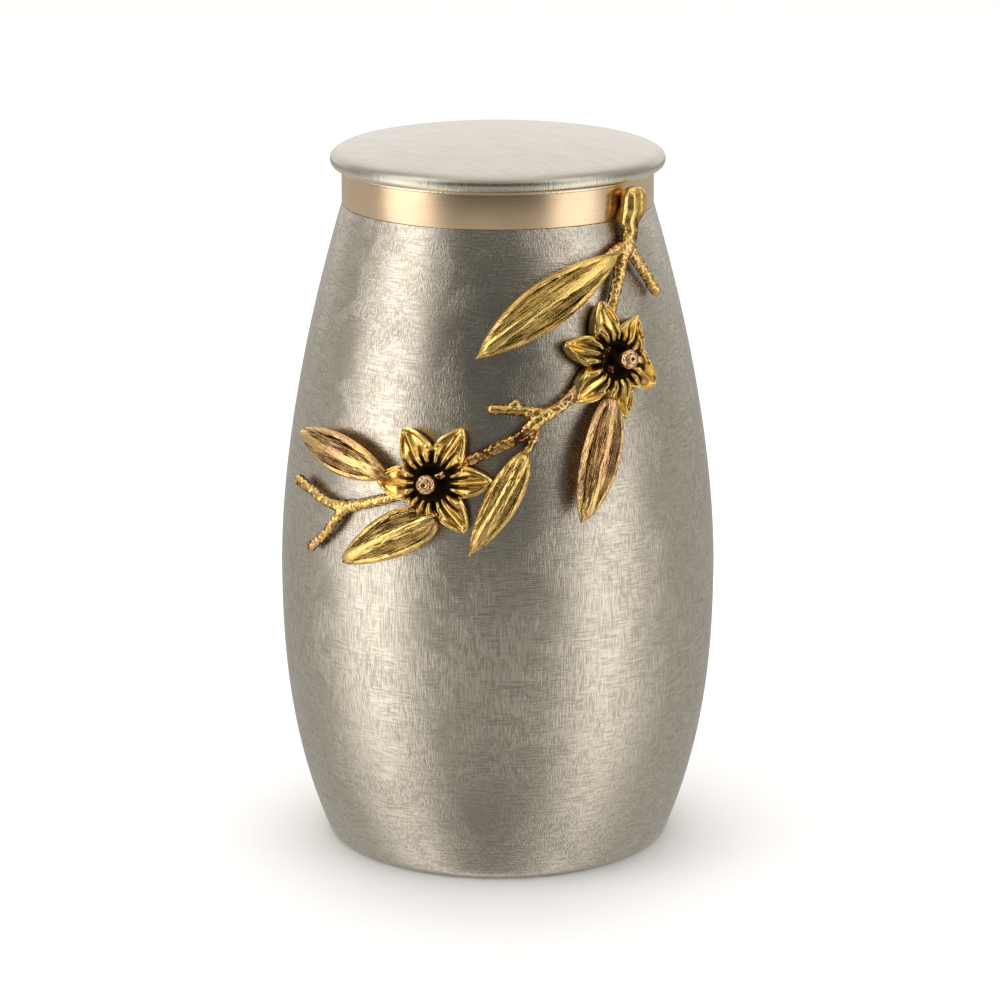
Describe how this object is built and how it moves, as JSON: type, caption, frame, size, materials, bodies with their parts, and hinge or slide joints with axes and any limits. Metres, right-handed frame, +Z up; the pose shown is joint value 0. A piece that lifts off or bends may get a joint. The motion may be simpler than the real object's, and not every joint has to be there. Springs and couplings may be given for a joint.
{
  "type": "cremation urn",
  "caption": "Hollow barrel-shaped metal urn with a lift-off lid, a smooth neck band and a cast branch of leaves and lily-like flowers on its front.",
  "frame": {"origin": "middle of the underside, on the surface that the urn stands on", "axes": "+Z up along the vessel's axis; the flower branch is on the side that faces -Y, and +X is to the right of someone who looks at it"},
  "size_m": [0.156, 0.1655, 0.2565],
  "materials": {
    "body_pewter": "pewter colour, cross-brushed in short fine strokes that look woven",
    "lid_pewter": "pale pewter colour with fine hairline brushing",
    "band_bronze": "smooth satin champagne bronze",
    "cast_bronze": "antique gold casting, dark brown in the hollows, with copper-pink patches"
  },
  "bodies": {
    "root": {"urn_body": "body_pewter", "neck_band": "band_bronze", "lid": "lid_pewter", "flower_branch": "cast_bronze"}
  },
  "joints": []
}
